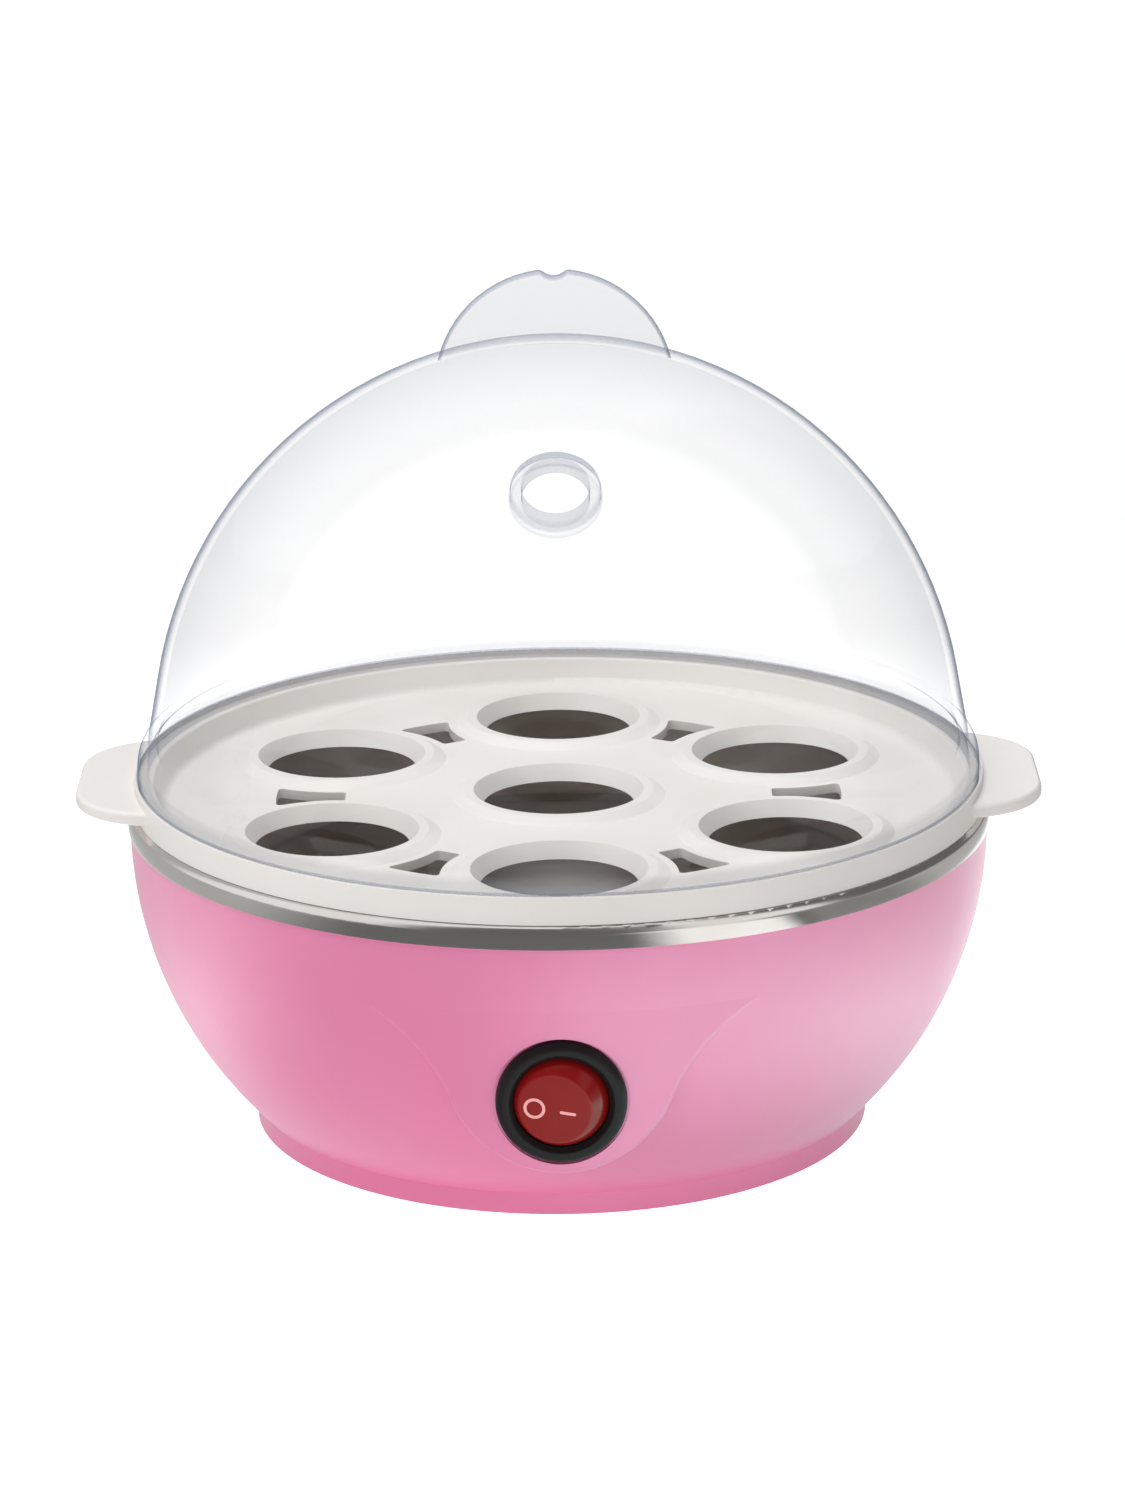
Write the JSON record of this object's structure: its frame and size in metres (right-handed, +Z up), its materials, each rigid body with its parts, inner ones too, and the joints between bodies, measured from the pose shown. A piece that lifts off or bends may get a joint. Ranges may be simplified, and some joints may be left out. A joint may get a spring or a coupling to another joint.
{
  "type": "electric egg cooker",
  "caption": "Round electric egg cooker: clear domed lid on a white egg tray with ears, steel water pan in a pink bowl housing, lit rocker switch in front, heater and wiring inside.",
  "frame": {"origin": "on the table, under the middle of the body and of its four feet", "axes": "+Z up, +X to the viewer's right through the tray's ears, -Y to the front where the switch is"},
  "size_m": [0.1796, 0.1629, 0.1622],
  "materials": {
    "clear_plastic": "clear polished polystyrene-like dome",
    "white_plastic": "warm white, soft gloss",
    "stainless": "polished pressed stainless sheet",
    "silicone": "translucent grey silicone",
    "pink_plastic": "candy pink, high gloss",
    "cast_aluminium": "as cast",
    "element_sheath": "dark annealed sheath",
    "plated_steel": "zinc plated",
    "phenolic": "dark phenolic",
    "brass": "plain brass strip",
    "fuse_case": "bright metal can",
    "black_plastic": "black, satin gloss",
    "red_plastic": "translucent deep red",
    "lamp_glass": "small neon lamp",
    "nylon": "natural nylon",
    "cover_plastic": "off-white moulded cover",
    "rubber": "black rubber",
    "brown_sleeve": "brown sleeve",
    "white_sleeve": "white heat-proof sleeve",
    "blue_sleeve": "blue sleeve"
  },
  "bodies": {
    "base": {"heating_pan": "stainless", "pan_seal": "silicone", "outer_housing": "pink_plastic", "heater_plate": "cast_aluminium", "heating_element": "element_sheath", "element_pins": "plated_steel", "thermostat": "phenolic", "thermostat_flange": "plated_steel", "flange_screws": "plated_steel", "thermostat_blades": "brass", "thermal_fuse": "fuse_case", "fuse_clip": "plated_steel", "fuse_clip_screw": "plated_steel", "switch_housing": "black_plastic", "switch_terminals": "brass", "neon_lamp": "lamp_glass", "spade_connectors": "nylon", "base_plate": "cover_plastic", "base_screws": "plated_steel", "rubber_feet": "rubber", "cord_gland": "rubber", "terminal_block": "nylon", "block_screw": "plated_steel", "lead_block_to_switch": "brown_sleeve", "lead_switch_to_thermostat": "white_sleeve", "lead_thermostat_to_fuse": "white_sleeve", "lead_fuse_to_element": "white_sleeve", "lead_element_to_block": "blue_sleeve"},
    "rocker": {"switch_rocker": "red_plastic", "switch_plunger": "white_plastic", "plunger_spring": "plated_steel"},
    "lever": {"contact_lever": "brass"},
    "tray": {"egg_tray": "white_plastic"},
    "lid": {"lid": "clear_plastic"}
  },
  "joints": [
    {"name": "rocker_tip", "type": "hinge", "parent": "base", "child": "rocker", "pos_m": [0, -0.07478, 0.03026], "axis": [0, -0.0785, 0.9969], "range_deg": [0, 22]},
    {"name": "lever_tip", "type": "hinge", "parent": "base", "child": "lever", "pos_m": [0, -0.067, 0.03087], "axis": [0, -0.0785, 0.9969], "range_deg": [-14, 0]},
    {"name": "tray_lift", "type": "slide", "parent": "base", "child": "tray", "axis": [0, 0, 1], "range_m": [0, 0.1]},
    {"name": "lid_lift", "type": "slide", "parent": "tray", "child": "lid", "axis": [0, 0, 1], "range_m": [0, 0.12]}
  ],
  "couplings": [
    {"joint": "lever_tip", "follows": "rocker_tip", "ratio": -0.6363}
  ]
}
